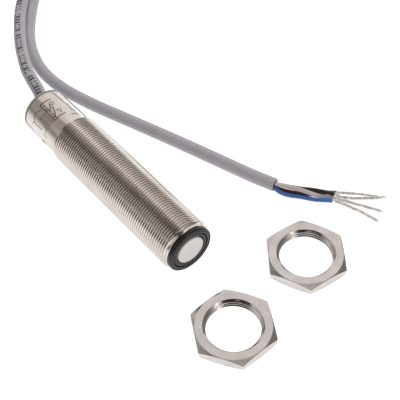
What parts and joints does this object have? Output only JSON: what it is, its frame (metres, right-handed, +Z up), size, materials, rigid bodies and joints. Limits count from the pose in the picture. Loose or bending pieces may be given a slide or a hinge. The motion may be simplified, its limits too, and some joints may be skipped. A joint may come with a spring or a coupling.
{
  "type": "cylindrical proximity sensor",
  "caption": "M18 threaded cylindrical sensor with a flat round sensing face, a tail cable with stripped cores, and loose hexagonal lock nuts.",
  "frame": {"origin": "centre of the round sensing face, on the sensor's axis", "axes": "+X along the sensor's axis and out of the sensing face, +Z up from the surface that the sensor lies on"},
  "size_m": [0.2669, 0.1297, 0.018],
  "materials": {
    "nickel_plated_brass": "satin nickel plating on machined brass",
    "nickel_nut": "satin nickel plating, turned faces",
    "black_plastic": "smooth black moulding",
    "black_rubber": "soft matt",
    "matching_layer": "filled epoxy, ground flat",
    "aluminium_cup": "turned",
    "piezo_ceramic": "silvered ceramic",
    "backing_resin": "cast resin",
    "red_insulation": "thin wire insulation",
    "black_insulation": "thin wire insulation",
    "white_insulation": "core insulation",
    "blue_insulation": "core insulation",
    "brown_insulation": "core insulation",
    "grey_jacket": "satin PVC jacket",
    "tinned_copper": "twisted tinned strands",
    "insulating_film": "amber film",
    "solder_mask": "green solder mask",
    "chip_package": "moulded package",
    "ferrite": "sintered core",
    "capacitor_sleeve": "shrunk sleeve",
    "smoked_lens": "smoked window",
    "led_package": "diffused package",
    "translucent_cap": "translucent moulding",
    "potting_resin": "cast resin",
    "crimp_brass": "crimped"
  },
  "bodies": {
    "sensor": {"backing_block": "backing_resin", "board_wire_black": "black_insulation", "board_wire_blue": "blue_insulation", "board_wire_brown": "brown_insulation", "board_wire_white": "white_insulation", "buffer_capacitor": "capacitor_sleeve", "cable_coil": "grey_jacket", "cable_end": "grey_jacket", "cable_tail": "grey_jacket", "circuit_board": "solder_mask", "core_black": "black_insulation", "core_blue": "blue_insulation", "core_brown": "brown_insulation", "core_white": "white_insulation", "crimp_ring": "crimp_brass", "echo_amplifier": "chip_package", "front_bezel": "black_plastic", "front_o_ring": "black_rubber", "housing_tube": "nickel_plated_brass", "insulating_sleeve": "insulating_film", "isolation_ring": "black_rubber", "led_window": "smoked_lens", "microcontroller": "chip_package", "output_transistor": "chip_package", "piezo_disc": "piezo_ceramic", "potting_plug": "potting_resin", "pulse_transformer": "ferrite", "rear_cap": "translucent_cap", "signal_led": "led_package", "strands_black": "tinned_copper", "strands_blue": "tinned_copper", "strands_brown": "tinned_copper", "strands_white": "tinned_copper", "transducer_cup": "aluminium_cup", "transducer_face": "matching_layer", "transducer_lead_black": "black_insulation", "transducer_lead_red": "red_insulation", "voltage_regulator": "chip_package"},
    "lock_nut_1": {"lock_nut_1": "nickel_nut"},
    "lock_nut_2": {"lock_nut_2": "nickel_nut"}
  },
  "joints": [
    {"name": "lift_nut_1", "type": "slide", "parent": "sensor", "child": "lock_nut_1", "axis": [0, 0, 1], "range_m": [0, 0.05]},
    {"name": "lift_nut_2", "type": "slide", "parent": "sensor", "child": "lock_nut_2", "axis": [0, 0, 1], "range_m": [0, 0.05]}
  ]
}
